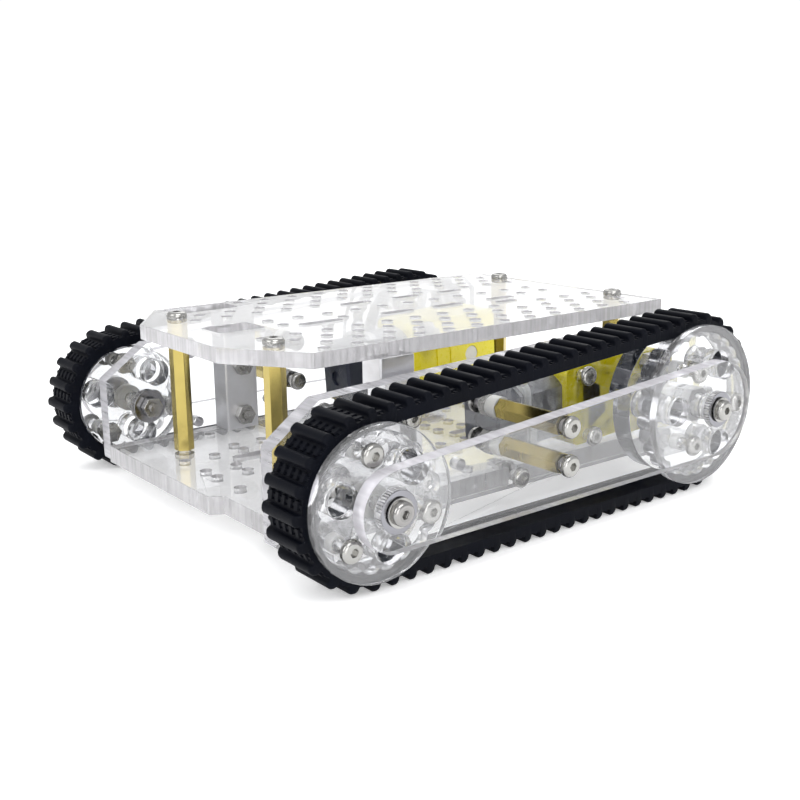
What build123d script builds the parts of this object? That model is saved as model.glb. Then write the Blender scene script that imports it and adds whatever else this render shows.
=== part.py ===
from build123d import *
import math
import os

# Tracked robot chassis: clear acrylic plates on brass standoffs, two geared
# motors, four laminated acrylic track wheels and two rubber tracks.
# Frame: +X forward, +Y the robot's left, +Z up. Z = 0 is the ground under the
# track cleats, X = 0 the middle of the track length, Y = 0 the middle plane.
# All dimensions in millimetres.

# ---------------------------------------------------------------- decks
T_TOP = 4.0               # top deck sheet
T_BOT = 5.0               # bottom deck sheet
DECK_GAP = 35.0           # standoff length between the decks
Z_TOP = 50.8              # top face of the top deck
Z_TOP_UNDER = Z_TOP - T_TOP
Z_BOT_TOP = Z_TOP_UNDER - DECK_GAP
Z_BOT_UNDER = Z_BOT_TOP - T_BOT
DECK_HALF_W = 42.4        # top deck half width
DECK_FRONT = 70.2
DECK_REAR = -72.5
CHAMFER_X, CHAMFER_Y = 14.5, 21.1
BOT_FRONT = 72.3
BOT_NOTCH_Y, BOT_NOTCH_D = 17.1, 3.5   # stepped front edge of the bottom deck
DECK_SCREW_X = (56.65, -68.5)
DECK_SCREW_Y = 26.0

# ---------------------------------------------------------------- M3 hardware
R_SHANK = 1.48
R_THREAD = 1.55           # tapped bore around an M3 shank
R_CLEAR = 1.60            # clearance hole
R_HEAD, H_HEAD = 2.85, 1.65
NUT_AF, NUT_H = 5.5, 2.4
HEX_AF = 5.0              # standoff across flats

# ---------------------------------------------------------------- side plates and rails
SIDE_IN, SIDE_OUT = 43.4, 48.4
RAIL_IN, RAIL_OUT = 74.6, 78.6
RAIL_R_FRONT, RAIL_R_REAR = 9.6, 13.5
RAIL_POST_X = 5.9
RAIL_POST_Z = (31.4, 21.6)
RAIL_POST_L = 20.0
NYLON_T = RAIL_IN - RAIL_POST_L - SIDE_OUT
RAIL_NUT = 2.7
POST_X, POST_L, POST_W = 31.2, 11.0, 8.0
POST_SCREW_Z = (32.0, 16.3)
EDGE_SCREW_X = -5.3       # side plate to bottom deck edge joint

# ---------------------------------------------------------------- running gear
N_FRONT, N_REAR, N_LINKS = 20, 25, 65
PITCH = 5.33              # cleat pitch of the track
RP_F = N_FRONT * PITCH / (2 * math.pi)
RP_R = N_REAR * PITCH / (2 * math.pi)
BELT_IN = -0.2            # belt inner surface from the pitch line
BELT_T = 2.7              # belt body
CLEAT_H = 2.1
H_OUT = BELT_IN + BELT_T + CLEAT_H
BELT_Y = (56.2, 70.05)
GUIDE_Y = (62.1, 64.1)
GUIDE_H = 1.7
GUIDE_L = 2.8
AXLE_Z_F = RP_F + H_OUT
AXLE_Z_R = RP_R + H_OUT
DISC_IN = (55.8, 61.8)    # smooth inner disc
GAP = (61.8, 64.4)        # spacer gap that the track guides run in
DISC_TOOTH = (64.4, 70.34)
DISC_FLANGE = (70.4, 72.6)
RUN_CLEAR = 0.35
FLANGE_OVER = 1.7
R_DISC_F = RP_F + BELT_IN - RUN_CLEAR
R_DISC_R = RP_R + BELT_IN - RUN_CLEAR
R_FLANGE_F = RP_F + BELT_IN + FLANGE_OVER
R_FLANGE_R = RP_R + BELT_IN + FLANGE_OVER
SCREW_R_F, SCREW_R_R = 12.4, 11.9
SCREW_ANG_F, SCREW_ANG_R = (103.5, -16.5, -136.5), (117.4, -2.6, -122.6)
LOBE_R = 3.0              # rounding of each lobe on the toothed disc
SPACER_R = 2.2
HOLE_R_F, HOLE_R_R, HOLE_D = 10.9, 12.9, 8.0
AXLE_X_F = 58.64

# ---------------------------------------------------------------- geared motor
GB_U0, GB_U1 = -10.8, 26.3
GB_H, GB_T = 22.5, 18.8
GB_HOLE_U, GB_HOLE_V = 20.7, 8.75
GB_WALL = 1.6
TILT = 3.5
SHAFT_R, SHAFT_FLAT = 2.7, 3.7
SHAFT_OUT = 9.0
CAN_R, CAN_FLAT, CAN_L = 10.0, 15.0, 16.4
CAP_L = 8.6

# ---------------------------------------------------------------- bearings 3 x 10 x 4
BRG_R, BRG_W = 5.0, 4.0


def loop_length(c):
    d = RP_R - RP_F
    t = math.asin(d / c)
    return 2 * c * math.cos(t) + math.pi * (RP_R + RP_F) + 2 * t * d


lo, hi = 80.0, 160.0
for _ in range(60):
    mid = (lo + hi) / 2
    if loop_length(mid) < N_LINKS * PITCH:
        lo = mid
    else:
        hi = mid
WHEEL_C = (lo + hi) / 2
AXLE_X_R = AXLE_X_F - math.sqrt(WHEEL_C ** 2 - (RP_R - RP_F) ** 2)
F_AX = (AXLE_X_F, AXLE_Z_F)
R_AX = (AXLE_X_R, AXLE_Z_R)


# ================================================================ helpers
def bx(x0, x1, y0, y1, z0, z1):
    return Pos((x0 + x1) / 2, (y0 + y1) / 2, (z0 + z1) / 2) * Box(x1 - x0, y1 - y0, z1 - z0)


def cy(x, z, y0, y1, r):
    return Pos(x, (y0 + y1) / 2, z) * Rot(90, 0, 0) * Cylinder(r, y1 - y0)


def cz(x, y, z0, z1, r):
    return Pos(x, y, (z0 + z1) / 2) * Cylinder(r, z1 - z0)


def hex_pts(af, ang=0.0):
    r = af / math.sqrt(3)
    return [(r * math.cos(math.radians(60 * i + ang)), r * math.sin(math.radians(60 * i + ang))) for i in range(6)]


def prism_y(pts, y0, y1):
    # closed polygon in the XZ plane, extruded from y0 to y1
    face = make_face(Polyline(*[(x, z) for x, z in pts], close=True))
    solid = extrude(face, amount=y1 - y0)
    # sketch (x, y) -> (x, z): rotate about X by 90 degrees sends +Z to -Y
    return Pos(0, y1, 0) * Rot(90, 0, 0) * solid


def face_y(sk, y0, y1):
    return Pos(0, y1, 0) * Rot(90, 0, 0) * extrude(sk, amount=y1 - y0)


def hex_y(x, z, y0, y1, af, ang=0.0):
    return prism_y([(x + a, z + b) for a, b in hex_pts(af, ang)], y0, y1)


def hex_z(x, y, z0, z1, af, ang=0.0):
    face = make_face(Polyline(*hex_pts(af, ang), close=True))
    return Pos(x, y, z0) * extrude(face, amount=z1 - z0)


def screw_z(x, y, z_face, up, length):
    # button head screw with its head on z_face; up = +1 when the head is above
    head = cz(0, 0, 0, H_HEAD, R_HEAD)
    head = fillet(head.edges().group_by(Axis.Z)[-1], 1.0)
    head -= hex_z(0, 0, H_HEAD - 1.0, H_HEAD + 1, 2.0)
    s = head + cz(0, 0, -length, 0.01, R_SHANK)
    if up < 0:
        s = Rot(180, 0, 0) * s
    return Pos(x, y, z_face) * s


def screw_y(x, z, y_face, out, length):
    # head on y_face; out = +1 when the head points to +Y
    s = screw_z(0, 0, 0, 1, length)
    s = Rot(-90, 0, 0) * s if out > 0 else Rot(90, 0, 0) * s
    return Pos(x, y_face, z) * s


def nut_y(x, z, y0, h=NUT_H, ang=0.0, bore=R_THREAD):
    return hex_y(x, z, y0, y0 + h, NUT_AF, ang) - cy(x, z, y0 - 1, y0 + h + 1, bore)


def ring_y(x, z, y0, y1, r0, r1):
    return cy(x, z, y0, y1, r1) - cy(x, z, y0 - 1, y1 + 1, r0)


def mir(shape):
    return mirror(shape, about=Plane.XZ)


def solids_of(items):
    out = []
    for it in (items if isinstance(items, (list, tuple)) else [items]):
        out += list(it.solids())
    return out


os.makedirs("parts", exist_ok=True)
WRITTEN = []


def save(name, items):
    s = solids_of(items)
    shape = s[0] if len(s) == 1 else Compound(children=s)
    export_step(shape, f"parts/{name}.step")
    WRITTEN.append(name)


def polar(c, r, ang):
    # ang in degrees, from the rearward direction towards up
    a = math.radians(ang)
    return c[0] - r * math.cos(a), c[1] + r * math.sin(a)


# ================================================================ decks
top_pts = [(DECK_FRONT, -(DECK_HALF_W - CHAMFER_Y)), (DECK_FRONT, DECK_HALF_W - CHAMFER_Y),
           (DECK_FRONT - CHAMFER_X, DECK_HALF_W), (DECK_REAR, DECK_HALF_W),
           (DECK_REAR, -DECK_HALF_W), (DECK_FRONT - CHAMFER_X, -DECK_HALF_W)]
top_sk = make_face(Polyline(*top_pts, close=True))

# slotted holes in two rows and wide cable slots near the front
SLOTS = [(2.5, -14.0, 11.0, 3.2), (-16.8, -14.0, 10.0, 3.2), (-35.0, -14.0, 9.5, 3.2),
         (30.0, 7.5, 14.0, 3.2), (3.2, 7.5, 11.5, 3.2), (-16.0, 7.5, 11.0, 3.2), (-37.5, 7.5, 11.0, 3.2),
         (-34.4, 13.5, 8.2, 3.2)]
WIDE = [(53.0, -0.5, 14.0, 11.0), (43.7, -35.7, 20.5, 9.5)]
GRID = []
for yy in (4.0, 18.0, 25.0, 32.0, 38.4):
    for i in range(14):
        xx = 60.0 - 10.0 * i - (5.0 if yy in (18.0, 32.0) else 0.0)
        for s in (-1, 1):
            GRID.append((xx, s * yy))


def hole_ok(x, y, slots, wide, front, rear, half_w, screws):
    if x > front - 5 or x < rear + 5 or abs(y) > half_w - 2.8:
        return False
    if x > DECK_FRONT - CHAMFER_X - 4 and abs(y) > 19:
        return False
    for sx, sy in screws:
        if math.hypot(x - sx, y - sy) < 6.0:
            return False
    for cx, cyy, l, w in slots + wide:
        if abs(x - cx) < l / 2 + 3.0 and abs(y - cyy) < w / 2 + 3.0:
            return False
    return True


deck_screws = [(x, s * DECK_SCREW_Y) for x in DECK_SCREW_X for s in (-1, 1)]
top_holes = [(x, y) for x, y in GRID if hole_ok(x, y, SLOTS, WIDE, DECK_FRONT, DECK_REAR, DECK_HALF_W, deck_screws)]

for x, y in top_holes + deck_screws:
    top_sk -= Pos(x, y) * Circle(R_CLEAR)
for cx, cyy, l, w in SLOTS:
    top_sk -= Pos(cx, cyy) * SlotOverall(l, w)
for cx, cyy, l, w in WIDE:
    top_sk -= Pos(cx, cyy) * RectangleRounded(l, w, 1.2)
save("top_deck", Pos(0, 0, Z_TOP_UNDER) * extrude(top_sk, amount=T_TOP))

# bottom deck: stepped front edge, edge slots with captive nuts for the side plates
bot_pts = [(BOT_FRONT, -SIDE_IN), (BOT_FRONT, BOT_NOTCH_Y), (BOT_FRONT - BOT_NOTCH_D, BOT_NOTCH_Y + 2.0),
           (BOT_FRONT - BOT_NOTCH_D, SIDE_IN), (DECK_REAR, SIDE_IN), (DECK_REAR, -SIDE_IN)]
bot_sk = make_face(Polyline(*bot_pts, close=True))
BOT_SLOTS = [(x, y, 12.0, 3.2) for y in (-9.0, 9.0) for x in (44.0, 12.0, -20.0, -48.0)]
bot_grid = [(62.0 - 9.5 * i, s * yy) for i in range(15) for yy in (3.2, 15.5, 21.0, 36.0) for s in (-1, 1)]
bot_holes = [(x, y) for x, y in bot_grid
             if hole_ok(x, y, BOT_SLOTS, [], BOT_FRONT + 4, DECK_REAR, 41.5, deck_screws)
             and not (abs(x - POST_X) < 9 and abs(y) > 30) and not (abs(x - EDGE_SCREW_X) < 6 and abs(y) > 28)
             and not (x < 0 and abs(y) > 22)]
for x, y in bot_holes + deck_screws:
    bot_sk -= Pos(x, y) * Circle(R_CLEAR)
for s in (-1, 1):
    bot_sk -= Pos(POST_X, s * (SIDE_IN - POST_W / 2)) * Circle(R_CLEAR)
for cx, cyy, l, w in BOT_SLOTS:
    bot_sk -= Pos(cx, cyy) * SlotOverall(l, w)
for s in (-1, 1):
    bot_sk -= Pos(EDGE_SCREW_X, s * (SIDE_IN - 4.5)) * Rectangle(3.2, 9.02)
    bot_sk -= Pos(EDGE_SCREW_X, s * (SIDE_IN - 4.0)) * Rectangle(NUT_AF + 0.2, NUT_H + 0.2)
save("bottom_deck", Pos(0, 0, Z_BOT_UNDER) * extrude(bot_sk, amount=T_BOT))

# ================================================================ side plates
side_pts = [(71.9, Z_BOT_UNDER), (71.9, 31.2), (58.6, 40.8), (-68.0, 46.2), (DECK_REAR, 42.0), (DECK_REAR, Z_BOT_UNDER)]
ct, st = math.cos(math.radians(TILT)), math.sin(math.radians(TILT))


def gb(u, v):
    # gearbox coordinates (u forward along the motor, v up) to X, Z
    return R_AX[0] + u * ct + v * st, R_AX[1] - u * st + v * ct


side = prism_y(side_pts, SIDE_IN, SIDE_OUT)
side = fillet(side.edges().filter_by(Axis.Y), 1.2)
side -= cy(F_AX[0], F_AX[1], SIDE_IN - 1, SIDE_IN + BRG_W, BRG_R)
side -= cy(F_AX[0], F_AX[1], SIDE_IN - 1, SIDE_OUT + 1, 3.7)
side -= cy(R_AX[0], R_AX[1], SIDE_IN - 1, SIDE_OUT + 1, 5.4)
for v in (-GB_HOLE_V, GB_HOLE_V):
    x, z = gb(GB_HOLE_U, v)
    side -= cy(x, z, SIDE_IN - 1, SIDE_OUT + 1, R_CLEAR)
for z in POST_SCREW_Z:
    side -= cy(POST_X, z, SIDE_IN - 1, SIDE_OUT + 1, R_CLEAR)
for z in RAIL_POST_Z:
    side -= cy(RAIL_POST_X, z, SIDE_IN - 1, SIDE_OUT + 1, R_CLEAR)
side -= cy(EDGE_SCREW_X, Z_BOT_UNDER + T_BOT / 2, SIDE_IN - 1, SIDE_OUT + 1, R_CLEAR)
# spare mounting holes
for x, z in ((16.0, 35.0), (-8.0, 35.5), (44.0, 36.0), (42.5, 14.0), (16.0, 17.0)):
    side -= cy(x, z, SIDE_IN - 1, SIDE_OUT + 1, R_CLEAR)
save("left_side_plate", side)
save("right_side_plate", mir(side))

# ================================================================ outer rails
DX, DZ = R_AX[0] - F_AX[0], R_AX[1] - F_AX[1]
LC = math.hypot(DX, DZ)
UX, UZ = DX / LC, DZ / LC


def hull_face(r1, r2):
    # the same outline from true arcs and tangent lines
    s = (r2 - r1) / LC
    base = math.atan2(UZ, UX)
    off = math.acos(-s)
    def P(c, r, a):
        return (c[0] + r * math.cos(a), c[1] + r * math.sin(a))
    f0, f1, fm = P(F_AX, r1, base + off), P(F_AX, r1, base - off), P(F_AX, r1, base + math.pi)
    r0, r1p, rm = P(R_AX, r2, base - off), P(R_AX, r2, base + off), P(R_AX, r2, base)
    edges = [ThreePointArc(f0, fm, f1), Line(f1, r0), ThreePointArc(r0, rm, r1p), Line(r1p, f0)]
    return make_face(edges)


rail = face_y(hull_face(RAIL_R_FRONT, RAIL_R_REAR), RAIL_IN, RAIL_OUT)
for c in (F_AX, R_AX):
    rail -= cy(c[0], c[1], RAIL_IN - 1, RAIL_OUT + 1, BRG_R)
for z in RAIL_POST_Z:
    rail -= cy(RAIL_POST_X, z, RAIL_IN - 1, RAIL_OUT + 1, R_CLEAR)
save("left_outer_rail", rail)
save("right_outer_rail", mir(rail))

# ================================================================ standoffs, posts, chassis screws
so = []
for x, y in deck_screws:
    so.append(hex_z(x, y, Z_BOT_TOP, Z_TOP_UNDER, HEX_AF, 30) - cz(x, y, Z_BOT_TOP - 1, Z_TOP_UNDER + 1, R_THREAD))
save("deck_standoffs", so)
save("deck_screws", [screw_z(x, y, Z_TOP, 1, 10.0) for x, y in deck_screws] +
     [screw_z(x, y, Z_BOT_UNDER, -1, 10.0) for x, y in deck_screws])

post = bx(POST_X - POST_L / 2, POST_X + POST_L / 2, SIDE_IN - POST_W, SIDE_IN, Z_BOT_TOP, Z_TOP_UNDER)
post = chamfer(post.edges().filter_by(Axis.Z), 0.4)
post -= cz(POST_X, SIDE_IN - POST_W / 2, Z_BOT_TOP - 1, Z_BOT_TOP + 1.0, R_THREAD)
for z in POST_SCREW_Z:
    post -= cy(POST_X, z, SIDE_IN - POST_W - 1, SIDE_IN + 1, R_THREAD)
save("upright_posts", [post, mir(post)])

side_scr, side_nuts = [], []
for z in POST_SCREW_Z:
    side_scr.append(screw_y(POST_X, z, SIDE_OUT, 1, 16.0))
    side_nuts.append(nut_y(POST_X, z, SIDE_IN - POST_W - NUT_H))
side_scr.append(screw_y(EDGE_SCREW_X, Z_BOT_UNDER + T_BOT / 2, SIDE_OUT, 1, 12.0))
zc = Z_BOT_UNDER + T_BOT / 2
side_nuts.append(hex_y(EDGE_SCREW_X, zc, SIDE_IN - 4.0 - NUT_H / 2, SIDE_IN - 4.0 + NUT_H / 2, 4.9, 0) -
                 cy(EDGE_SCREW_X, zc, SIDE_IN - 8, SIDE_IN, R_THREAD))
save("side_plate_screws", side_scr + [mir(s) for s in side_scr])
# lock nuts against the side plate behind the rail posts
for z in RAIL_POST_Z:
    side_nuts.append(hex_y(RAIL_POST_X, z, SIDE_OUT, SIDE_OUT + RAIL_NUT, 5.5, 15) -
                     cy(RAIL_POST_X, z, SIDE_OUT - 1, SIDE_OUT + 6, R_CLEAR))
save("side_plate_nuts", side_nuts + [mir(s) for s in side_nuts])

rs, rn, rsi, rso = [], [], [], []
for z in RAIL_POST_Z:
    rs.append(hex_y(RAIL_POST_X, z, SIDE_OUT + NYLON_T, RAIL_IN, HEX_AF, 15) -
              cy(RAIL_POST_X, z, SIDE_OUT, RAIL_IN + 1, R_THREAD))
    rn.append(ring_y(RAIL_POST_X, z, SIDE_OUT + RAIL_NUT, SIDE_OUT + NYLON_T, R_CLEAR, 3.0))
    rsi.append(screw_y(RAIL_POST_X, z, SIDE_IN, -1, 12.0))
    rso.append(screw_y(RAIL_POST_X, z, RAIL_OUT, 1, 10.0))
save("rail_standoffs", rs + [mir(s) for s in rs])
save("rail_nylon_spacers", rn + [mir(s) for s in rn])
save("rail_screws", rsi + rso + [mir(s) for s in rsi + rso])

# ================================================================ bearings
def brg_outer(c, y0):
    y1 = y0 + BRG_W
    ring = ring_y(c[0], c[1], y0, y1, 4.1, BRG_R)
    ring += ring_y(c[0], c[1], y0, y0 + 0.3, 2.8, 4.15)
    ring += ring_y(c[0], c[1], y1 - 0.3, y1, 2.8, 4.15)
    return ring


def brg_balls(c, y0):
    return [Pos(c[0] + 3.35 * math.cos(2 * math.pi * i / 7), y0 + BRG_W / 2, c[1] + 3.35 * math.sin(2 * math.pi * i / 7)) *
            Sphere(0.7) for i in range(7)]


def brg_inner(c, y0):
    return ring_y(c[0], c[1], y0, y0 + BRG_W, R_THREAD, 2.6)


seats = [(F_AX, SIDE_IN), (F_AX, RAIL_IN), (R_AX, RAIL_IN)]
bo, bb = [], []
for c, y0 in seats:
    bo.append(brg_outer(c, y0))
    bb += brg_balls(c, y0)
save("bearing_outer_rings", bo + [mir(s) for s in bo])
save("bearing_balls", bb + [mir(s) for s in bb])



# ================================================================ wheels
def disc(c, r, y, screw_r, hole_r, screw_ang, lobes=0, hex_bore=0.0, bore=R_CLEAR, phase=0.0, holes=True):
    sk = Pos(c[0], c[1]) * Circle(r)
    if lobes:
        sk = Pos(c[0], c[1]) * Circle(r - 0.8 * LOBE_R)
        for i in range(lobes):
            a = math.radians(phase + 360.0 * i / lobes)
            sk += Pos(c[0] + (r - LOBE_R) * math.cos(a), c[1] + (r - LOBE_R) * math.sin(a)) * Circle(LOBE_R)
    for ang in screw_ang:
        x, z = polar(c, screw_r, ang)
        sk -= Pos(x, z) * Circle(R_CLEAR)
        if holes:
            x, z = polar(c, hole_r, ang + 60)
            sk -= Pos(x, z) * Circle(HOLE_D / 2)
    if hex_bore:
        sk -= Pos(c[0], c[1]) * make_face(Polyline(*hex_pts(hex_bore), close=True))
    else:
        sk -= Pos(c[0], c[1]) * Circle(bore)
    return face_y(sk, y[0], y[1])


def wheel_screws(c, screw_r, screw_ang):
    out = []
    for ang in screw_ang:
        x, z = polar(c, screw_r, ang)
        out.append(screw_y(x, z, DISC_FLANGE[1], 1, 20.0))
        out.append(nut_y(x, z, DISC_IN[0] - NUT_H))
    return out


def wheel_spacers(c, screw_r, screw_ang, core):
    out = []
    for ang in screw_ang:
        x, z = polar(c, screw_r, ang)
        out.append(ring_y(x, z, GAP[0], GAP[1], R_CLEAR, SPACER_R))
    if core:
        out.append(ring_y(c[0], c[1], GAP[0], GAP[1], R_CLEAR, 4.0))
    return out


HEX_HUB = 9.0
idler = {
    "inner_disc": disc(F_AX, R_DISC_F, DISC_IN, SCREW_R_F, HOLE_R_F, SCREW_ANG_F),
    "toothed_disc": disc(F_AX, R_DISC_F, DISC_TOOTH, SCREW_R_F, HOLE_R_F, SCREW_ANG_F, lobes=N_FRONT, phase=9.0),
    "flange_disc": disc(F_AX, R_FLANGE_F, DISC_FLANGE, SCREW_R_F, HOLE_R_F, SCREW_ANG_F),
    "wheel_spacers": wheel_spacers(F_AX, SCREW_R_F, SCREW_ANG_F, True),
    "wheel_screws": wheel_screws(F_AX, SCREW_R_F, SCREW_ANG_F),
}
drive = {
    "inner_disc": disc(R_AX, R_DISC_R, DISC_IN, SCREW_R_R, HOLE_R_R, SCREW_ANG_R, hex_bore=HEX_HUB),
    "toothed_disc": disc(R_AX, R_DISC_R, DISC_TOOTH, SCREW_R_R, HOLE_R_R, SCREW_ANG_R, lobes=N_REAR, bore=3.55, phase=7.2),
    "flange_disc": disc(R_AX, R_FLANGE_R, DISC_FLANGE, SCREW_R_R, HOLE_R_R, SCREW_ANG_R, bore=3.55),
    "wheel_spacers": wheel_spacers(R_AX, SCREW_R_R, SCREW_ANG_R, False),
    "wheel_screws": wheel_screws(R_AX, SCREW_R_R, SCREW_ANG_R),
}

# idler axle: a long M3 screw on two bearings, locked to the wheel by nuts
WASH = 0.4
Y_HEAD = RAIL_OUT + 0.3 + WASH
idler["axle_screw"] = screw_y(F_AX[0], F_AX[1], Y_HEAD, 1, 40.0)
fx, fz = F_AX
idler["axle_hardware"] = [
    ring_y(fx, fz, RAIL_OUT + 0.3, Y_HEAD, R_CLEAR, 3.5),           # washer under the head
    ring_y(fx, fz, RAIL_OUT, RAIL_OUT + 0.3, R_THREAD, 2.2),        # shims
    ring_y(fx, fz, RAIL_IN - 0.3, RAIL_IN, R_THREAD, 2.2),
    nut_y(fx, fz, DISC_FLANGE[1], RAIL_IN - 0.3 - DISC_FLANGE[1], 10),   # thin lock nut
    nut_y(fx, fz, DISC_IN[0] - 4.0, 4.0, 20),                            # inner lock nut
    ring_y(fx, fz, SIDE_IN + BRG_W, DISC_IN[0] - 4.0, R_THREAD, 2.4),    # spacer tube
    ring_y(fx, fz, SIDE_IN - 0.3, SIDE_IN, R_THREAD, 2.2),
    nut_y(fx, fz, SIDE_IN - 0.3 - NUT_H, NUT_H, 5),                      # end nut
    brg_inner(F_AX, SIDE_IN), brg_inner(F_AX, RAIL_IN),
]

# drive hub: double-D socket on the motor shaft, tapped for the outer axle screw
rx, rz = R_AX
hub = cy(rx, rz, SIDE_IN + 0.8, SIDE_OUT + 0.6, 4.4) + cy(rx, rz, SIDE_OUT + 0.6, DISC_IN[0], 5.0)
hub += hex_y(rx, rz, DISC_IN[0], GAP[1], HEX_HUB)
hub += cy(rx, rz, GAP[1], RAIL_IN - 0.3, 3.5)
hub += cy(rx, rz, RAIL_IN - 0.3, RAIL_IN, 2.2)
hub -= cy(rx, rz, 58.0, RAIL_IN + 1, R_THREAD)
SH = 0.05
socket = cy(rx, rz, SIDE_IN, SIDE_IN + SHAFT_OUT + 0.3, SHAFT_R + SH)
fl = SHAFT_FLAT / 2 + SH
socket &= bx(rx - fl, rx + fl, SIDE_IN - 1, SIDE_IN + 20, rz - 5, rz + 5)
hub -= socket
drive["hub"] = hub
drive["axle_hardware"] = [
    screw_y(rx, rz, Y_HEAD, 1, 16.0),
    ring_y(rx, rz, RAIL_OUT + 0.3, Y_HEAD, R_CLEAR, 3.5),
    ring_y(rx, rz, RAIL_OUT, RAIL_OUT + 0.3, R_THREAD, 2.2),
    brg_inner(R_AX, RAIL_IN),
]

for key, shp in idler.items():
    save(f"left_idler_{key}", shp)
    save(f"right_idler_{key}", [mir(s) for s in solids_of(shp)])
for key, shp in drive.items():
    save(f"left_drive_{key}", shp)
    save(f"right_drive_{key}", [mir(s) for s in solids_of(shp)])

# ================================================================ tracks
band = hull_face(RP_F + BELT_IN + BELT_T, RP_R + BELT_IN + BELT_T) - hull_face(RP_F + BELT_IN, RP_R + BELT_IN)


def on_loop(s):
    # point and outward normal on the pitch line at arc length s from the front axle's lower tangent point
    d = (RP_R - RP_F) / WHEEL_C
    base = math.atan2(UZ, UX)
    off = math.acos(-d)
    run = WHEEL_C * math.sqrt(1 - d * d)
    a_up, a_dn = base - off, base + off       # outward normals of the upper and lower runs
    if math.sin(a_up) < math.sin(a_dn):
        a_up, a_dn = a_dn, a_up
    front_arc = RP_F * (2 * math.pi - 2 * off)
    rear_arc = RP_R * 2 * off
    total = 2 * run + front_arc + rear_arc
    s %= total
    # front arc runs from the lower tangent, round the nose, to the upper tangent
    if s < front_arc:
        a = a_dn + s / RP_F
        return (F_AX[0] + RP_F * math.cos(a), F_AX[1] + RP_F * math.sin(a)), a
    s -= front_arc
    if s < run:
        p = (F_AX[0] + RP_F * math.cos(a_up), F_AX[1] + RP_F * math.sin(a_up))
        q = (R_AX[0] + RP_R * math.cos(a_up), R_AX[1] + RP_R * math.sin(a_up))
        t = s / run
        return (p[0] + (q[0] - p[0]) * t, p[1] + (q[1] - p[1]) * t), a_up
    s -= run
    if s < rear_arc:
        a = a_up + s / RP_R
        return (R_AX[0] + RP_R * math.cos(a), R_AX[1] + RP_R * math.sin(a)), a
    s -= rear_arc
    p = (R_AX[0] + RP_R * math.cos(a_dn), R_AX[1] + RP_R * math.sin(a_dn))
    q = (F_AX[0] + RP_F * math.cos(a_dn), F_AX[1] + RP_F * math.sin(a_dn))
    t = s / run
    return (p[0] + (q[0] - p[0]) * t, p[1] + (q[1] - p[1]) * t), a_dn


def block(s, h0, h1, half0, half1):
    (px, pz), a = on_loop(s)
    n = (math.cos(a), math.sin(a))
    t = (-n[1], n[0])
    P = lambda h, w: (px + n[0] * h + t[0] * w, pz + n[1] * h + t[1] * w)
    return make_face(Polyline(P(h0, -half0), P(h0, half0), P(h1, half1), P(h1, -half1), close=True))


profile = band
for i in range(N_LINKS):
    profile += block(i * PITCH, BELT_IN + BELT_T - 0.5, H_OUT, 1.35, 0.95)
track = face_y(profile, BELT_Y[0], BELT_Y[1])
guides = [face_y(block((i + 0.5) * PITCH, BELT_IN - GUIDE_H, BELT_IN + 0.5, GUIDE_L / 2 - 0.3, GUIDE_L / 2), GUIDE_Y[0], GUIDE_Y[1])
          for i in range(N_LINKS)]
track = track.fuse(*guides) if hasattr(track, "fuse") else track + guides
save("left_track", track)
save("right_track", mir(track))


# ================================================================ geared motors
def gbx(shape):
    # gearbox coordinates (u, w, v) to the row frame, motor on the left side
    return Pos(R_AX[0], SIDE_IN, R_AX[1]) * Rot(0, TILT, 0) * shape


MID = -GB_T / 2
outer = bx(GB_U0, GB_U1, -GB_T, 0, -GB_H / 2, GB_H / 2)
outer = fillet(outer.edges().filter_by(Axis.Y), 2.2)
cavity = bx(GB_U0 + GB_WALL, GB_U1 - GB_WALL - 1.2, -GB_T + GB_WALL, -GB_WALL, -GB_H / 2 + GB_WALL, GB_H / 2 - GB_WALL)
boss = None
for v in (-GB_HOLE_V, GB_HOLE_V):
    b = cy(GB_HOLE_U, v, -GB_T, 0, 2.5)
    boss = b if boss is None else boss + b
shell = (outer - cavity) + (boss & outer)
shell += cy(0, 0, -GB_WALL - 2.0, -0.01, 5.0) & outer
shell += cy(0, 0, -GB_T + 0.01, -GB_T + GB_WALL + 2.0, 5.0) & outer
shell -= cy(0, 0, -GB_T - 1, 1, SHAFT_R + 0.1)
for v in (-GB_HOLE_V, GB_HOLE_V):
    shell -= cy(GB_HOLE_U, v, -GB_T - 1, 1, R_CLEAR)
# motor nose opening in the front wall
shell -= bx(GB_U1 - 4, GB_U1 + 1, MID - 3.2, MID + 3.2, -3.2, 3.2)
# fixing tab at the rear and moulded ribs on both faces
tab = bx(GB_U0 - 4.6, GB_U0 + 1.0, MID - 1.5, MID + 1.5, -4.0, 4.0)
tab = fillet(tab.edges().filter_by(Axis.Y).group_by(Axis.X)[0], 2.0)
tab -= cy(GB_U0 - 2.4, 0, MID - 3, MID + 3, 1.5)
tab = tab - cavity
shell += tab
for u in (8.5, 14.5):
    shell += bx(u, u + 1.2, -GB_T - 0.35, -GB_T + 0.2, -8.6, 8.6)
case = shell & bx(-30, 40, MID, 5, -20, 20)
cover = shell & bx(-30, 40, -GB_T - 5, MID, -20, 20)

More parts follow.
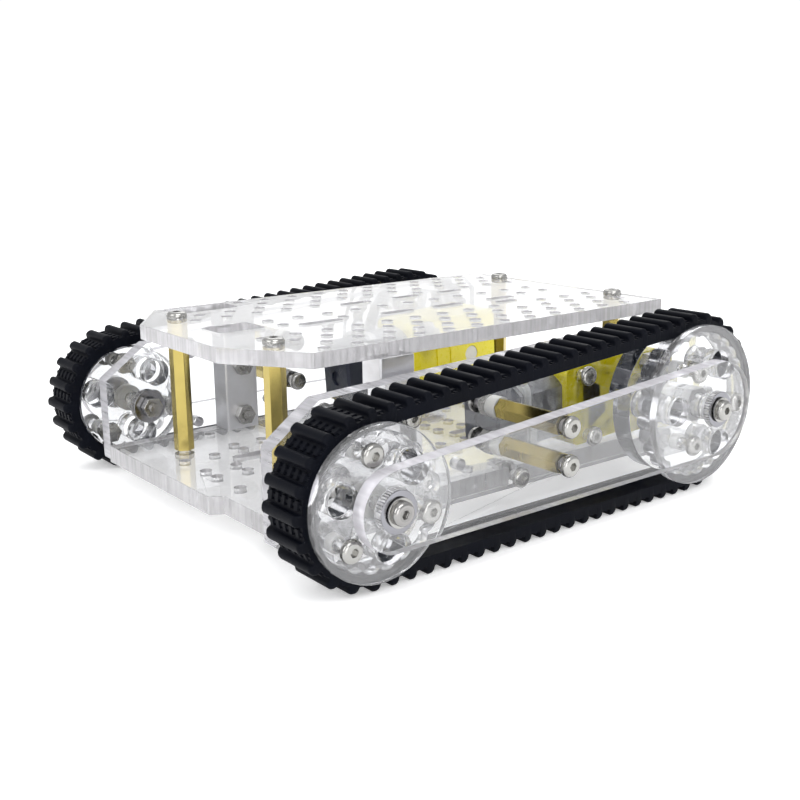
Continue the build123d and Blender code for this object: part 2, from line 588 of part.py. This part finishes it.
can = Pos(GB_U1 + CAN_L / 2, MID, 0) * Rot(0, 90, 0) * Cylinder(CAN_R, CAN_L)
can &= bx(GB_U1 - 1, GB_U1 + CAN_L + 1, MID - CAN_R, MID + CAN_R, -CAN_FLAT / 2, CAN_FLAT / 2)
can = Pos(GB_U1 + CAN_L / 2, MID, 0) * Rot(0, 90, 0) * Cylinder(CAN_R - 0.2, CAN_L)
can &= bx(GB_U1 - 1, GB_U1 + CAN_L + 1, MID - CAN_FLAT / 2, MID + CAN_FLAT / 2, -CAN_R, CAN_R)
nose = Pos(GB_U1 - 1.2, MID, 0) * Rot(0, 90, 0) * Cylinder(3.0, 2.4)
can += nose
can -= Pos(GB_U1 + 3, MID, 0) * Rot(0, 90, 0) * Cylinder(1.05, 20)
cap = Pos(GB_U1 + CAN_L + CAP_L / 2, MID, 0) * Rot(0, 90, 0) * Cylinder(CAN_R - 0.5, CAP_L)
cap &= bx(GB_U1, GB_U1 + 60, MID - CAN_FLAT / 2 + 0.3, MID + CAN_FLAT / 2 - 0.3, -CAN_R, CAN_R)
cap = chamfer(cap.edges().group_by(Axis.X)[-1], 0.8)
cap -= Pos(GB_U1 + CAN_L + CAP_L, MID, 0) * Rot(0, 90, 0) * Cylinder(2.4, 1.6)
terms = []
for v in (-1, 1):
    terms.append(bx(GB_U1 + CAN_L + CAP_L, GB_U1 + CAN_L + CAP_L + 3.2, MID - 1.1, MID + 1.1, v * 5.6 - 0.2, v * 5.6 + 0.2))
strap = bx(GB_U1 + CAN_L - 3.6, GB_U1 + CAN_L - 1.2, MID - CAN_FLAT / 2 - 0.6, MID + CAN_FLAT / 2 + 0.6, -CAN_R - 0.4, CAN_R + 0.4)
inner = Pos(GB_U1 + CAN_L / 2, MID, 0) * Rot(0, 90, 0) * Cylinder(CAN_R - 0.2, CAN_L + 10)
inner &= bx(GB_U1 - 1, GB_U1 + CAN_L + 6, MID - CAN_FLAT / 2, MID + CAN_FLAT / 2, -CAN_R, CAN_R)
strap = fillet(strap.edges().filter_by(Axis.X), 4.0) - inner

shaft = cy(0, 0, -GB_T + 0.2, SHAFT_OUT, SHAFT_R)
flat = bx(-SHAFT_FLAT / 2, SHAFT_FLAT / 2, 0.4, SHAFT_OUT + 1, -4, 4)
shaft = (shaft & flat) + (shaft & bx(-4, 4, -GB_T, 0.4, -4, 4))
shaft -= cy(0, 0, SHAFT_OUT - 6, SHAFT_OUT + 1, 0.9)

ms, mn = [], []
for v in (-GB_HOLE_V, GB_HOLE_V):
    x, z = gb(GB_HOLE_U, v)
    ms.append(screw_y(x, z, SIDE_OUT, 1, 30.0))
    mn.append(nut_y(x, z, SIDE_IN - GB_T - NUT_H))

# the flats of the drive shaft stand upright at rest, so it is placed without the motor's tilt
shaft_r = Pos(R_AX[0], SIDE_IN, R_AX[1]) * shaft
for side_name, f in (("left", lambda s: s), ("right", mir)):
    save(f"{side_name}_gearbox_case", f(gbx(case)))
    save(f"{side_name}_gearbox_cover", f(gbx(cover)))
    save(f"{side_name}_motor_can", f(gbx(can)))
    save(f"{side_name}_motor_end_cap", f(gbx(cap)))
    save(f"{side_name}_output_shaft", f(shaft_r))
tt = [gbx(t) for t in terms]
save("motor_terminals", tt + [mir(t) for t in tt])
save("motor_straps", [gbx(strap), mir(gbx(strap))])
save("motor_screws", ms + [mir(s) for s in ms] + mn + [mir(s) for s in mn])

print("nodes", len(WRITTEN))
print("front axle", F_AX, "rear axle", R_AX, "C", WHEEL_C, "ratio", N_REAR / N_FRONT)
print("R disc", R_DISC_F, R_DISC_R, "flange", R_FLANGE_F, R_FLANGE_R)
print("x extents", F_AX[0] + AXLE_Z_F, R_AX[0] - AXLE_Z_R)
print("top holes", len(top_holes), "bottom holes", len(bot_holes))
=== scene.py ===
import math

import bpy
import bmesh
import numpy as np
from mathutils import Matrix, Vector


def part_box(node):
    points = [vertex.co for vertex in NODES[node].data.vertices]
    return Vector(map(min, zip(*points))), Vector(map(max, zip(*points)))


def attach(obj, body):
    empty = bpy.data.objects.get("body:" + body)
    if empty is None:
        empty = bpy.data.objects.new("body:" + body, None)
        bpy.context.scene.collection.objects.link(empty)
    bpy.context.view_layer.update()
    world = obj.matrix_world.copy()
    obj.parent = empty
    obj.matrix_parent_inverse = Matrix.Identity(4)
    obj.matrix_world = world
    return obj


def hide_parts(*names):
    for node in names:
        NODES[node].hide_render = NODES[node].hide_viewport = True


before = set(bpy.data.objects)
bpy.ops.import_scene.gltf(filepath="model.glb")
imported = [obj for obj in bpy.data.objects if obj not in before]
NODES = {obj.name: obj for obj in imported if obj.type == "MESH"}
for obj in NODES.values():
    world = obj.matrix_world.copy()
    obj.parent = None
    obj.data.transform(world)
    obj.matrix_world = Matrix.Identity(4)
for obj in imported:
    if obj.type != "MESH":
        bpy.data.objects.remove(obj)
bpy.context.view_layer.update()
MM = 0.001


# ---------------------------------------------------------------- node helpers
def new_mat(name):
    m = bpy.data.materials.new(name)
    m.use_nodes = True
    nt = m.node_tree
    nt.nodes.clear()
    out = nt.nodes.new("ShaderNodeOutputMaterial")
    return m, nt, out


def node(nt, kind, **sockets):
    n = nt.nodes.new(kind)
    for k, v in sockets.items():
        n.inputs[k.replace("_", " ")].default_value = v
    return n


def link(nt, a, b):
    nt.links.new(a, b)


def math_node(nt, op, a, b=None, clamp=False):
    n = nt.nodes.new("ShaderNodeMath")
    n.operation = op
    n.use_clamp = clamp
    for i, v in enumerate((a, b)):
        if v is None:
            continue
        if isinstance(v, (int, float)):
            n.inputs[i].default_value = v
        else:
            link(nt, v, n.inputs[i])
    return n.outputs[0]


def coords(nt, scale=(1, 1, 1)):
    tc = nt.nodes.new("ShaderNodeTexCoord")
    mp = nt.nodes.new("ShaderNodeMapping")
    mp.inputs["Scale"].default_value = scale
    link(nt, tc.outputs["Object"], mp.inputs["Vector"])
    return mp.outputs["Vector"]


def noise(nt, vec, scale, detail=3.0, rough=0.55):
    n = nt.nodes.new("ShaderNodeTexNoise")
    n.inputs["Scale"].default_value = scale
    n.inputs["Detail"].default_value = detail
    n.inputs["Roughness"].default_value = rough
    link(nt, vec, n.inputs["Vector"])
    return n.outputs["Fac"]


def ramp(nt, fac, stops):
    r = nt.nodes.new("ShaderNodeValToRGB")
    el = r.color_ramp.elements
    while len(el) < len(stops):
        el.new(0.5)
    for e, (p, c) in zip(el, stops):
        e.position = p
        e.color = (c[0], c[1], c[2], 1) if isinstance(c, tuple) else (c, c, c, 1)
    link(nt, fac, r.inputs["Fac"])
    return r.outputs["Color"]


def remap(nt, fac, a, b, lo, hi):
    n = nt.nodes.new("ShaderNodeMapRange")
    n.inputs["From Min"].default_value = a
    n.inputs["From Max"].default_value = b
    n.inputs["To Min"].default_value = lo
    n.inputs["To Max"].default_value = hi
    link(nt, fac, n.inputs["Value"])
    return n.outputs["Result"]


def bump(nt, height, strength, dist):
    n = nt.nodes.new("ShaderNodeBump")
    n.inputs["Strength"].default_value = strength
    n.inputs["Distance"].default_value = dist
    link(nt, height, n.inputs["Height"])
    return n.outputs["Normal"]


def mix_shader(nt, fac, a, b):
    n = nt.nodes.new("ShaderNodeMixShader")
    if isinstance(fac, (int, float)):
        n.inputs[0].default_value = fac
    else:
        link(nt, fac, n.inputs[0])
    link(nt, a, n.inputs[1])
    link(nt, b, n.inputs[2])
    return n.outputs[0]


# ---------------------------------------------------------------- materials
def acrylic(name, thick_axis, veil=0.025, edge_tint=(0.86, 0.85, 0.89), cut=(0.26, 0.40), edge_rough=(0.06, 0.22)):
    """Clear cast sheet: polished faces, laser-cut edges with fine ripples across the sheet's thickness."""
    m, nt, out = new_mat(name)
    v = coords(nt)
    face = nt.nodes.new("ShaderNodeBsdfPrincipled")
    face.inputs["Base Color"].default_value = (0.985, 0.988, 0.992, 1)
    face.inputs["Transmission Weight"].default_value = 1.0
    face.inputs["IOR"].default_value = 1.49
    # faint handling smears on the polished faces, plus a white diffuse veil that is painted reflection of the
    # bright surroundings
    smear = noise(nt, coords(nt, (1, 1, 1)), 90.0, 4.0, 0.6)
    link(nt, remap(nt, smear, 0.35, 0.75, 0.0, 0.02), face.inputs["Roughness"])
    smear_and_reflection_veil = node(nt, "ShaderNodeBsdfDiffuse", Color=(0.95, 0.95, 0.97, 1))
    body = mix_shader(nt, remap(nt, smear, 0.3, 0.8, veil * 0.6, veil * 1.5), face.outputs[0], smear_and_reflection_veil.outputs[0])

    # cut edges: frosted glass over a translucent core, with striations; the core is pale for most sheets, and
    # where edge_tint is dark it is painted refraction of the black belt behind the wheel rims
    edge = nt.nodes.new("ShaderNodeBsdfPrincipled")
    edge.inputs["Base Color"].default_value = (0.93, 0.93, 0.96, 1)
    edge.inputs["Transmission Weight"].default_value = 1.0
    edge.inputs["IOR"].default_value = 1.49
    stretch = (60, 60, 900) if thick_axis != "Z" else (900, 900, 60)
    if thick_axis == "Y":
        stretch = (900, 60, 900)
    st = noise(nt, coords(nt, stretch), 1.0, 2.0)
    link(nt, remap(nt, st, 0.3, 0.7, *edge_rough), edge.inputs["Roughness"])
    link(nt, bump(nt, st, 0.12, 0.0001), edge.inputs["Normal"])
    core = nt.nodes.new("ShaderNodeBsdfDiffuse")
    link(nt, ramp(nt, st, [(0.25, tuple(c * 0.88 for c in edge_tint)), (0.7, edge_tint)]), core.inputs["Color"])
    rim = mix_shader(nt, remap(nt, st, 0.2, 0.8, *cut), edge.outputs[0], core.outputs[0])

    geo = nt.nodes.new("ShaderNodeNewGeometry")
    sep = nt.nodes.new("ShaderNodeSeparateXYZ")
    vt = nt.nodes.new("ShaderNodeVectorTransform")
    vt.vector_type = "NORMAL"
    vt.convert_from = "WORLD"
    vt.convert_to = "OBJECT"
    link(nt, geo.outputs["True Normal"], vt.inputs[0])
    link(nt, vt.outputs[0], sep.inputs[0])
    along = math_node(nt, "ABSOLUTE", sep.outputs[thick_axis])
    is_face = math_node(nt, "GREATER_THAN", along, 0.8)
    surf = mix_shader(nt, is_face, rim, body)
    # lamps shine through the clear sheet
    lp = nt.nodes.new("ShaderNodeLightPath")
    clear = node(nt, "ShaderNodeBsdfTransparent", Color=(0.985, 0.985, 0.985, 1))
    link(nt, mix_shader(nt, lp.outputs["Is Shadow Ray"], surf, clear.outputs[0]), out.inputs["Surface"])
    return m


def metal(name, colour, rough=(0.18, 0.34), scale=(1, 1, 1), freq=600.0, bump_d=0.00004, strength=0.3, dirt=0.12, axis_thread=None):
    m, nt, out = new_mat(name)
    p = nt.nodes.new("ShaderNodeBsdfPrincipled")
    p.inputs["Metallic"].default_value = 1.0
    v = coords(nt, scale)
    n = noise(nt, v, freq, 3.0)
    big = noise(nt, coords(nt), 140.0, 3.0)
    c0 = tuple(c * (1 - dirt) for c in colour)
    link(nt, ramp(nt, big, [(0.3, c0), (0.62, colour)]), p.inputs["Base Color"])
    link(nt, remap(nt, n, 0.3, 0.7, rough[0], rough[1]), p.inputs["Roughness"])
    height = n
    link(nt, bump(nt, height, strength, bump_d), p.inputs["Normal"])
    link(nt, p.outputs[0], out.inputs["Surface"])
    return m


def threaded(name, colour, centres, radius, pitch=0.0005):
    """Plated screw: rolled thread on the shank round each centre (x, z), smooth head outside it."""
    m, nt, out = new_mat(name)
    p = nt.nodes.new("ShaderNodeBsdfPrincipled")
    p.inputs["Metallic"].default_value = 1.0
    v = coords(nt)
    big = noise(nt, v, 180.0, 3.0)
    sep = nt.nodes.new("ShaderNodeSeparateXYZ")
    link(nt, v, sep.inputs[0])
    near = None
    for cx, cz in centres:
        dx = math_node(nt, "SUBTRACT", sep.outputs["X"], cx)
        dz = math_node(nt, "SUBTRACT", sep.outputs["Z"], cz)
        d2 = math_node(nt, "ADD", math_node(nt, "MULTIPLY", dx, dx), math_node(nt, "MULTIPLY", dz, dz))
        near = d2 if near is None else math_node(nt, "MINIMUM", near, d2)
    on = math_node(nt, "LESS_THAN", near, (radius * 1.03) ** 2)
    ph = math_node(nt, "MULTIPLY", sep.outputs["Y"], 2 * math.pi / pitch)
    wave = math_node(nt, "MULTIPLY", math_node(nt, "SINE", ph), on)
    link(nt, bump(nt, wave, 0.9, 0.00012), p.inputs["Normal"])
    # base colour darkened in the thread grooves: painted shade in the grooves, times random tone over the part
    groove_shade_and_tone = math_node(nt, "MULTIPLY", remap(nt, wave, -1, 1, 0.55, 1.0), remap(nt, big, 0.3, 0.7, 0.88, 1.0))
    cm = nt.nodes.new("ShaderNodeMix")
    cm.data_type = "RGBA"
    # dark grey end of the mix is the painted groove shade colour
    cm.inputs[6].default_value = (0.10, 0.10, 0.10, 1)
    cm.inputs[7].default_value = (*colour, 1)
    link(nt, groove_shade_and_tone, cm.inputs[0])
    link(nt, cm.outputs[2], p.inputs["Base Color"])
    link(nt, remap(nt, big, 0.3, 0.7, 0.14, 0.28), p.inputs["Roughness"])
    link(nt, p.outputs[0], out.inputs["Surface"])
    return m


def plastic(name, colour, rough=(0.28, 0.42), var=0.10, freq=900.0, strength=0.12, sss=0.0, coat=0.0):
    m, nt, out = new_mat(name)
    p = nt.nodes.new("ShaderNodeBsdfPrincipled")
    v = coords(nt)
    fine = noise(nt, v, freq, 2.0)
    big = noise(nt, v, 60.0, 3.0)
    link(nt, ramp(nt, big, [(0.3, tuple(c * (1 - var) for c in colour)), (0.65, colour)]), p.inputs["Base Color"])
    link(nt, remap(nt, fine, 0.3, 0.7, rough[0], rough[1]), p.inputs["Roughness"])
    link(nt, bump(nt, fine, strength, 0.00006), p.inputs["Normal"])
    p.inputs["Subsurface Weight"].default_value = sss
    p.inputs["Subsurface Radius"].default_value = (0.002, 0.0018, 0.0012)
    p.inputs["Coat Weight"].default_value = coat
    link(nt, p.outputs[0], out.inputs["Surface"])
    return m


def rubber(name):
    m, nt, out = new_mat(name)
    p = nt.nodes.new("ShaderNodeBsdfPrincipled")
    v = coords(nt)
    grain = noise(nt, v, 1400.0, 3.0, 0.6)
    patch = noise(nt, v, 75.0, 4.0, 0.6)
    link(nt, ramp(nt, patch, [(0.32, (0.0008, 0.0012, 0.0030)), (0.72, (0.0018, 0.0025, 0.0054))]), p.inputs["Base Color"])
    link(nt, remap(nt, patch, 0.3, 0.7, 0.46, 0.66), p.inputs["Roughness"])
    link(nt, bump(nt, grain, 0.35, 0.00008), p.inputs["Normal"])
    p.inputs["Specular IOR Level"].default_value = 0.07
    link(nt, p.outputs[0], out.inputs["Surface"])
    return m


# veil sets the white diffuse layer on the faces: handling smears plus painted reflection of the bright
# surroundings
ACR_Z = acrylic("acrylic_deck", "Z", veil=0.13, edge_tint=(0.66, 0.65, 0.66), cut=(0.34, 0.48))
ACR_Y = acrylic("acrylic_upright", "Y", veil=0.012)
ACR_RAIL = acrylic("acrylic_rail", "Y", veil=0.015, edge_tint=(0.88, 0.86, 0.91), cut=(0.38, 0.50))
ACR_WHEEL = acrylic("acrylic_wheel", "Y", veil=0.06, cut=(0.05, 0.12), edge_rough=(0.04, 0.18), edge_tint=(0.62, 0.62, 0.63))
# inner and lobed wheel discs: the near-black cut-edge colour is painted refraction of the black belt seen through
# the rims
ACR_RIM_PAINTED_REFRACTION = acrylic("acrylic_wheel_inner_painted_refraction", "Y", veil=0.02, cut=(0.30, 0.50), edge_rough=(0.0, 0.08), edge_tint=(0.045, 0.052, 0.07))
ACR_LOBE_PAINTED_REFRACTION = acrylic("acrylic_wheel_lobed_painted_refraction", "Y", veil=0.05, cut=(0.14, 0.26), edge_rough=(0.0, 0.10), edge_tint=(0.09, 0.10, 0.12))
BRASS = metal("brass_turned", (0.43, 0.345, 0.11), (0.20, 0.28), (1, 1, 0.25), 300.0, dirt=0.12, strength=0.04)
STEEL = metal("steel_plated", (0.38, 0.375, 0.36), (0.16, 0.30), dirt=0.18)
BEARING = metal("steel_bearing", (0.26, 0.26, 0.28), (0.10, 0.22), freq=300.0, strength=0.1)
CAN = metal("motor_can_plate", (0.20, 0.205, 0.22), (0.26, 0.42), (1, 14, 14), 220.0, strength=0.2, dirt=0.2)
ALU = metal("aluminium_milled", (0.62, 0.62, 0.64), (0.28, 0.44), (1, 1, 8), 260.0, strength=0.25, dirt=0.08)
NYLON = plastic("nylon_white", (0.80, 0.80, 0.78), (0.3, 0.45), 0.05, sss=0.3)
SHAFT = plastic("shaft_white", (0.82, 0.81, 0.75), (0.3, 0.42), 0.05, sss=0.2)
YELLOW = plastic("gearbox_yellow", (1.0, 0.86, 0.004), (0.22, 0.38), 0.07, 700.0, 0.10, coat=0.15)
DARK = plastic("end_cap_dark", (0.010, 0.014, 0.030), (0.32, 0.5), 0.25)
STRAP = plastic("strap_white", (0.78, 0.80, 0.80), (0.2, 0.34), 0.05, sss=0.3)
RUBBER = rubber("track_rubber")

MAT = {}
for n in ("top_deck", "bottom_deck"):
    MAT[n] = ACR_Z
for s in ("left", "right"):
    MAT[f"{s}_side_plate"] = ACR_Y
    MAT[f"{s}_outer_rail"] = ACR_RAIL
    for w in ("idler", "drive"):
        for k in ("inner_disc", "toothed_disc", "flange_disc"):
            MAT[f"{s}_{w}_{k}"] = {"inner_disc": ACR_RIM_PAINTED_REFRACTION, "toothed_disc": ACR_LOBE_PAINTED_REFRACTION}.get(k, ACR_WHEEL)
        MAT[f"{s}_{w}_wheel_spacers"] = NYLON
        MAT[f"{s}_{w}_wheel_screws"] = STEEL
        MAT[f"{s}_{w}_axle_hardware"] = STEEL
    lo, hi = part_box(f"{s}_idler_axle_screw")
    MAT[f"{s}_idler_axle_screw"] = threaded(f"{s}_axle_screw_thread", (0.38, 0.37, 0.36), [((lo.x + hi.x) / 2, (lo.z + hi.z) / 2)], 1.48 * MM)
    MAT[f"{s}_drive_hub"] = ALU
    MAT[f"{s}_output_shaft"] = SHAFT
    MAT[f"{s}_gearbox_case"] = YELLOW
    MAT[f"{s}_gearbox_cover"] = YELLOW
    MAT[f"{s}_motor_can"] = CAN
    MAT[f"{s}_motor_end_cap"] = DARK
MAT.update({"deck_standoffs": BRASS, "rail_standoffs": BRASS, "motor_terminals": BRASS, "deck_screws": STEEL,
            "side_plate_screws": STEEL, "side_plate_nuts": STEEL, "rail_screws": STEEL, "motor_screws": STEEL,
            "upright_posts": ALU, "rail_nylon_spacers": NYLON, "bearing_outer_rings": BEARING,
            "bearing_balls": BEARING, "motor_straps": STRAP})
for n, o in NODES.items():
    if n in MAT:
        o.data.materials.clear()
        o.data.materials.append(MAT[n])

# ---------------------------------------------------------------- tracks
N_LINKS, PITCH, N_F, N_R = 65, 5.33, 20, 25
BELT_IN, BELT_T, CLEAT = -0.2, 2.7, 2.1
RP_F, RP_R = N_F * PITCH / (2 * math.pi), N_R * PITCH / (2 * math.pi)


def mid(name):
    a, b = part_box(name)
    return (a + b) / 2


cf, cr = mid("left_idler_flange_disc") / MM, mid("left_drive_flange_disc") / MM
tb_lo, tb_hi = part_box("left_track")
Y0, Y1 = tb_lo.y / MM, tb_hi.y / MM
YC = (Y0 + Y1) / 2
HALF = (Y1 - Y0) / 2


def loop_point(s):
    c = math.hypot(cr.x - cf.x, cr.z - cf.z)
    base = math.atan2(cr.z - cf.z, cr.x - cf.x)
    d = (RP_R - RP_F) / c
    off = math.acos(-d)
    run = c * math.sqrt(1 - d * d)
    a_up, a_dn = base - off, base + off
    if math.sin(a_up) < math.sin(a_dn):
        a_up, a_dn = a_dn, a_up
    fa, ra = RP_F * (2 * math.pi - 2 * off), RP_R * 2 * off
    total = 2 * run + fa + ra
    s %= total
    if s < fa:
        a = a_dn + s / RP_F
        return cf.x + RP_F * math.cos(a), cf.z + RP_F * math.sin(a), a
    s -= fa
    if s < run:
        t = s / run
        px, pz = cf.x + RP_F * math.cos(a_up), cf.z + RP_F * math.sin(a_up)
        qx, qz = cr.x + RP_R * math.cos(a_up), cr.z + RP_R * math.sin(a_up)
        return px + (qx - px) * t, pz + (qz - pz) * t, a_up
    s -= run
    if s < ra:
        a = a_up + s / RP_R
        return cr.x + RP_R * math.cos(a), cr.z + RP_R * math.sin(a), a
    s -= ra
    t = s / run
    px, pz = cr.x + RP_R * math.cos(a_dn), cr.z + RP_R * math.sin(a_dn)
    qx, qz = cf.x + RP_F * math.cos(a_dn), cf.z + RP_F * math.sin(a_dn)
    return px + (qx - px) * t, pz + (qz - pz) * t, a_dn


# cross-section of one link along the loop: (s, height over the belt body, 1 where the low bars may stand)
LINK = [(-2.665, 0.30, 1), (-2.36, 0.30, 1), (-2.24, 0.06, 1), (-1.80, 0.04, 1), (-1.68, 0.04, 0), (-1.42, 0.10, 0), (-1.22, 0.30, 0),
        (-1.12, 0.66, 0), (-1.12, 1.10, 0), (-1.05, 1.50, 0), (-0.84, 1.83, 0), (-0.48, 2.04, 0), (0.0, 2.10, 0),
        (0.48, 2.04, 0), (0.84, 1.83, 0), (1.05, 1.50, 0), (1.12, 1.10, 0), (1.12, 0.66, 0), (1.22, 0.30, 0),
        (1.42, 0.10, 0), (1.68, 0.04, 0), (1.80, 0.04, 1), (2.24, 0.06, 1), (2.36, 0.30, 1)]
BARS = [-5.1, -2.55, 0.0, 2.55, 5.1]
cols = [(-HALF, 0.40, 0.0), (-HALF + 0.12, 0.66, 0.0), (-HALF + 0.35, 0.88, 0.0), (-HALF + 0.75, 1.0, 0.0)]
for b in BARS:
    cols += [(b - 0.72, 1.0, 0.0), (b - 0.55, 1.0, 0.6), (b + 0.55, 1.0, 0.6), (b + 0.72, 1.0, 0.0)]
cols += [(HALF - 0.75, 1.0, 0.0), (HALF - 0.35, 0.88, 0.0), (HALF - 0.12, 0.66, 0.0), (HALF, 0.40, 0.0)]
cols = sorted(cols)
g_lo, g_hi = 62.1 - YC, 64.1 - YC
icols = [(-HALF, 0.0), (-HALF + 2.0, 0.0), (g_lo - 0.12, 0.0), (g_lo, 0.55), (g_lo + 0.35, 1.0), (g_hi - 0.35, 1.0), (g_hi, 0.55), (g_hi + 0.12, 0.0),
         (HALF - 2.0, 0.0), (HALF, 0.0)]


def guide_height(s):
    # guide blocks stand half a pitch away from the cleats
    d = abs(abs(s) - PITCH / 2)
    return 1.7 if d < 1.0 else (1.3 if d < 1.25 else (0.4 if d < 1.4 else 0.0))


def build_track(name, side, body):
    bm = bmesh.new()
    rows_o, rows_i = [], []
    inner_s = np.linspace(-PITCH / 2, PITCH / 2 - PITCH / len(LINK), len(LINK))
    for i in range(N_LINKS):
        for j, (ds, h, bar) in enumerate(LINK):
            x, z, a = loop_point(i * PITCH + ds)
            nx, nz = math.cos(a), math.sin(a)
            row = []
            for y, k, bh in cols:
                hh = BELT_IN + BELT_T + (h * k if not bar else max(h, bh if bar and abs(abs(ds) - PITCH / 2) < 1.1 else h))
                row.append(bm.verts.new(((x + nx * hh) * MM, side * (YC + y) * MM, (z + nz * hh) * MM)))
            rows_o.append(row)
            s2 = inner_s[j]
            x, z, a = loop_point(i * PITCH + s2)
            nx, nz = math.cos(a), math.sin(a)
            row = []
            g = guide_height(s2)
            for y, k in icols:
                hh = BELT_IN - g * k
                row.append(bm.verts.new(((x + nx * hh) * MM, side * (YC + y) * MM, (z + nz * hh) * MM)))
            rows_i.append(row)
    n = len(rows_o)
    def quad(a, b, c, d):
        try:
            bm.faces.new((a, b, c, d) if side > 0 else (d, c, b, a))
        except ValueError:
            pass
    for i in range(n):
        j = (i + 1) % n
        for k in range(len(cols) - 1):
            quad(rows_o[i][k], rows_o[i][k + 1], rows_o[j][k + 1], rows_o[j][k])
        for k in range(len(icols) - 1):
            quad(rows_i[i][k + 1], rows_i[i][k], rows_i[j][k], rows_i[j][k + 1])
        quad(rows_i[i][0], rows_o[i][0], rows_o[j][0], rows_i[j][0])
        quad(rows_o[i][-1], rows_i[i][-1], rows_i[j][-1], rows_o[j][-1])
    bmesh.ops.recalc_face_normals(bm, faces=bm.faces)
    for e in bm.edges:
        if len(e.link_faces) == 2 and e.calc_face_angle(0) > math.radians(38):
            e.smooth = False
    for f in bm.faces:
        f.smooth = True
    me = bpy.data.meshes.new(name)
    bm.to_mesh(me)
    bm.free()
    me.materials.append(RUBBER)
    ob = bpy.data.objects.new(name, me)
    bpy.context.scene.collection.objects.link(ob)
    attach(ob, body)
    return ob


for s, sg in (("left", 1), ("right", -1)):
    t = build_track(f"{s}_track_rubber", sg, "chassis")
    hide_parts(f"{s}_track")

# ---------------------------------------------------------------- edges of the CAD pieces
for n, o in NODES.items():
    if n in ("left_track", "right_track"):
        continue
    w = o.modifiers.new("weld", "WELD")
    w.merge_threshold = 1e-6
    b = o.modifiers.new("edge", "BEVEL")
    b.width = (0.14 if MAT.get(n) in (ACR_Z, ACR_Y, ACR_RAIL, ACR_WHEEL, ACR_RIM_PAINTED_REFRACTION, ACR_LOBE_PAINTED_REFRACTION) else 0.10) * MM
    b.segments = 2
    b.limit_method = "ANGLE"
    b.angle_limit = math.radians(50)
    b.use_clamp_overlap = True

# ---------------------------------------------------------------- floor and light
bpy.ops.mesh.primitive_plane_add(size=30, location=(0, 0, -0.00005))
floor = bpy.context.object
floor.name = "floor"
fm, nt, out = new_mat("floor_pale")
p = nt.nodes.new("ShaderNodeBsdfPrincipled")
link(nt, ramp(nt, noise(nt, coords(nt), 3.0, 2.0), [(0.3, 0.93), (0.7, 0.95)]), p.inputs["Base Color"])
p.inputs["Roughness"].default_value = 0.9
p.inputs["Specular IOR Level"].default_value = 0.0
p.inputs["Emission Color"].default_value = (1, 1, 1, 1)
p.inputs["Emission Strength"].default_value = 0.30
link(nt, p.outputs[0], out.inputs["Surface"])
floor.data.materials.append(fm)

world = bpy.data.worlds.new("studio")
bpy.context.scene.world = world
world.use_nodes = True
wn = world.node_tree
bg = wn.nodes["Background"]
tc = wn.nodes.new("ShaderNodeTexCoord")
sx = wn.nodes.new("ShaderNodeSeparateXYZ")
wn.links.new(tc.outputs["Generated"], sx.inputs[0])
cr_ = wn.nodes.new("ShaderNodeValToRGB")
el = cr_.color_ramp.elements
for pos in (0.30, 0.62, 0.8):
    el.new(pos)
for e, (pos, col) in zip(el, ((0.0, (1.0, 1.0, 1.0)), (0.16, (1.0, 1.0, 1.0)), (0.38, (0.70, 0.71, 0.74)),
                              (0.60, (0.86, 0.87, 0.89)), (1.0, (1.0, 1.0, 1.0)))):
    e.position, e.color = pos, (*col, 1)
wn.links.new(sx.outputs["Z"], cr_.inputs["Fac"])
wn.links.new(cr_.outputs["Color"], bg.inputs["Color"])
bg.inputs["Strength"].default_value = 1.05


def area(name, loc, target, size, power):
    l = bpy.data.lights.new(name, "AREA")
    l.shape = "RECTANGLE"
    l.size, l.size_y = size
    l.energy = power
    o = bpy.data.objects.new(name, l)
    o.location = loc
    o.rotation_euler = (Vector(target) - Vector(loc)).to_track_quat("-Z", "Y").to_euler()
    bpy.context.scene.collection.objects.link(o)
    return o


area("key", (0.10, 0.55, 0.75), (0, 0, 0.02), (0.6, 0.5), 3.6)
area("fill_front", (0.75, 0.05, 0.45), (0, 0, 0.02), (0.5, 0.5), 2.2)
area("fill_side", (0.27, 0.60, 0.16), (-0.03, 0, 0.02), (0.4, 0.3), 1.0)
area("back", (-0.45, -0.5, 0.6), (0, 0, 0.02), (0.6, 0.4), 2.0)

# ---------------------------------------------------------------- camera
yaw, pitch, roll = 0.9071725, 0.2426377, -0.0094036
fw = Vector((-math.cos(yaw) * math.cos(pitch), -math.sin(yaw) * math.cos(pitch), -math.sin(pitch)))
r = fw.cross(Vector((0, 0, 1))).normalized()
u = r.cross(fw)
c, s_ = math.cos(roll), math.sin(roll)
r2, u2 = r * c + u * s_, -r * s_ + u * c
cam = bpy.data.cameras.new("camera")
cam.sensor_width = 36
cam.lens = 1093.8166 * 36 / 800
cam.clip_start = 0.01
co = bpy.data.objects.new("camera", cam)
co.matrix_world = Matrix((
    (r2.x, u2.x, -fw.x, 0.196355), (r2.y, u2.y, -fw.y, 0.255305), (r2.z, u2.z, -fw.z, 0.102073), (0, 0, 0, 1)))
bpy.context.scene.collection.objects.link(co)
bpy.context.scene.camera = co

sc = bpy.context.scene
sc.view_settings.view_transform = "Standard"
sc.cycles.max_bounces = 28
sc.cycles.transmission_bounces = 26
sc.cycles.transparent_max_bounces = 32
sc.cycles.glossy_bounces = 6
sc.cycles.diffuse_bounces = 4
sc.cycles.caustics_reflective = False
sc.cycles.caustics_refractive = False
sc.cycles.use_denoising = True
